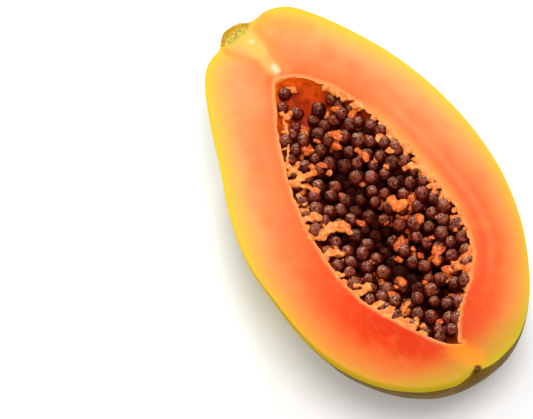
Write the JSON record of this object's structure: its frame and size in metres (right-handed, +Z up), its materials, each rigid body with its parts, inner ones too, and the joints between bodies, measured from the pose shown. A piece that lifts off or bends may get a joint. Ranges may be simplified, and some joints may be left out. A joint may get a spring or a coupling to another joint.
{
  "type": "papaya half",
  "caption": "Ripe papaya cut in half lengthwise, lying on its rounded back, its hollow lined with dark seeds and orange threads.",
  "frame": {"origin": "centre of the base: on the ground under the middle of the fruit's box, in the plane of the small flat spot it rests on", "axes": "+X from the stem end to the blossom end, +Y across the cut towards the fuller side, +Z up out of the cut face"},
  "size_m": [0.1954, 0.1104, 0.0542],
  "materials": {
    "flesh": "satin",
    "peel": "satin",
    "thread": "satin",
    "seed": "gloss"
  },
  "bodies": {
    "root": {"papaya_half": "flesh", "seeds": "seed"}
  },
  "joints": []
}
